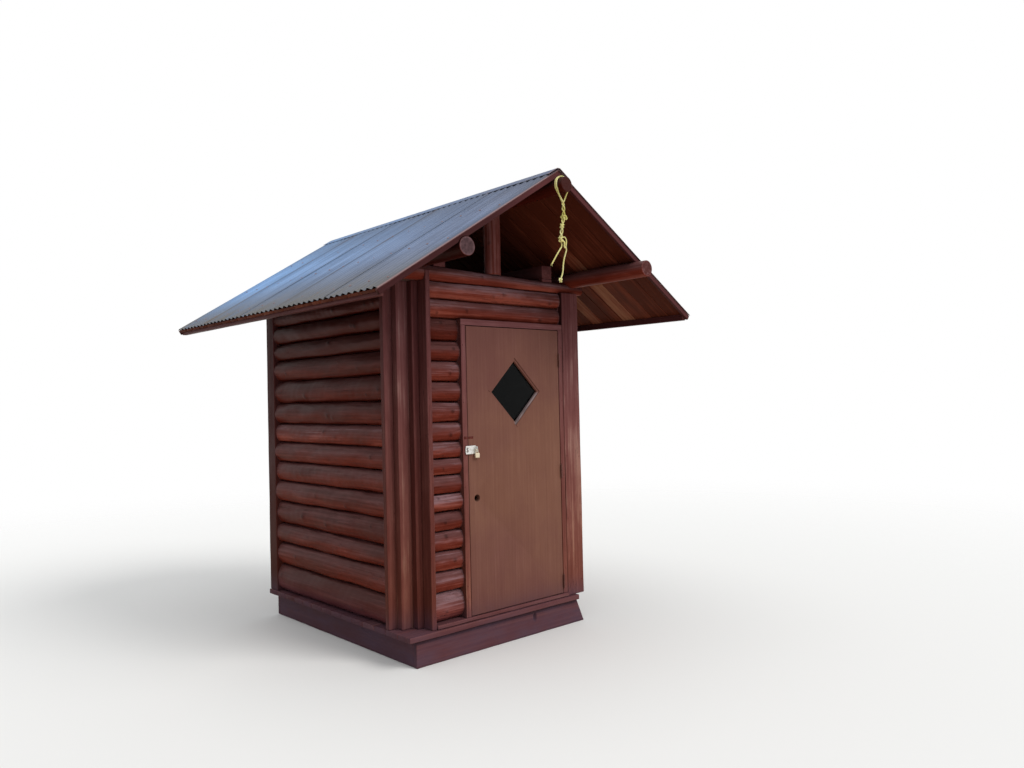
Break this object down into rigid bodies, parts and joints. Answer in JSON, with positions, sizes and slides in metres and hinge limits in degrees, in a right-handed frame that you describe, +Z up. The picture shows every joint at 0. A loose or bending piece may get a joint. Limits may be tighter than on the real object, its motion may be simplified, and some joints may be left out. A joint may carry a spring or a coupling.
{
  "type": "wooden outhouse",
  "caption": "Log-walled wooden outhouse with a corrugated gable roof on round logs, an open gable and a hinged door with a diamond window.",
  "frame": {"origin": "on the ground under the middle of the roof's length and under the ridge", "axes": "+X to the right seen from the front, along the front wall; +Y from the door side to the back, along the ridge; +Z up"},
  "size_m": [2.9124, 3.2, 3.3169],
  "materials": {
    "red_log": "barn red paint on round logs, worn",
    "red_board": "barn red paint on sawn boards, faded",
    "roof_board": "red stained boards under the roof",
    "door_paint": "flat brown red paint",
    "roof_metal": "dull galvanised corrugated sheet",
    "hinge_paint": "butt hinges painted over with the frame",
    "hardware": "zinc plated steel",
    "lock_metal": "pale worn metal",
    "glass": "dark window glass",
    "rope": "faded yellow plastic rope"
  },
  "bodies": {
    "house": {"front_skirt": "red_board", "side_skirts": "red_board", "rear_skirt": "red_board", "floor_joists": "red_board", "floor_boards": "red_board", "threshold": "red_board", "left_end_board": "red_board", "corner_post": "red_board", "corner_strip": "red_board", "left_trim": "red_board", "right_trim": "red_board", "right_corner_post": "red_board", "rear_corner_posts": "red_board", "left_wall": "red_log", "right_wall": "red_log", "rear_wall": "red_log", "short_logs": "red_log", "over_door_logs": "red_log", "front_tie_log": "red_log", "rear_tie_log": "red_log", "left_jamb": "red_board", "right_jamb": "red_board", "head_jamb": "red_board", "door_stops": "red_board", "king_posts": "red_log", "tie_beams": "red_board", "ridge_log": "red_log", "plate_logs": "red_log", "left_roof_boards": "roof_board", "right_roof_boards": "roof_board", "barge_boards": "red_board", "eave_strips": "red_board", "left_roof_sheets": "roof_metal", "right_roof_sheets": "roof_metal", "ridge_cap": "roof_metal", "frame_hinges": "hinge_paint", "staple": "hardware", "rope_short": "rope", "rope_long": "rope", "rope_knots": "rope"},
    "door": {"door_slab": "door_paint", "window_beads": "door_paint", "window_pane": "glass", "door_hinges": "hinge_paint", "hasp": "hardware", "padlock": "lock_metal"}
  },
  "joints": [
    {"name": "door_hinge", "type": "hinge", "parent": "house", "child": "door", "pos_m": [0.6045, -0.876, 1.271], "axis": [0, 0, 1], "range_deg": [0, 100]}
  ]
}
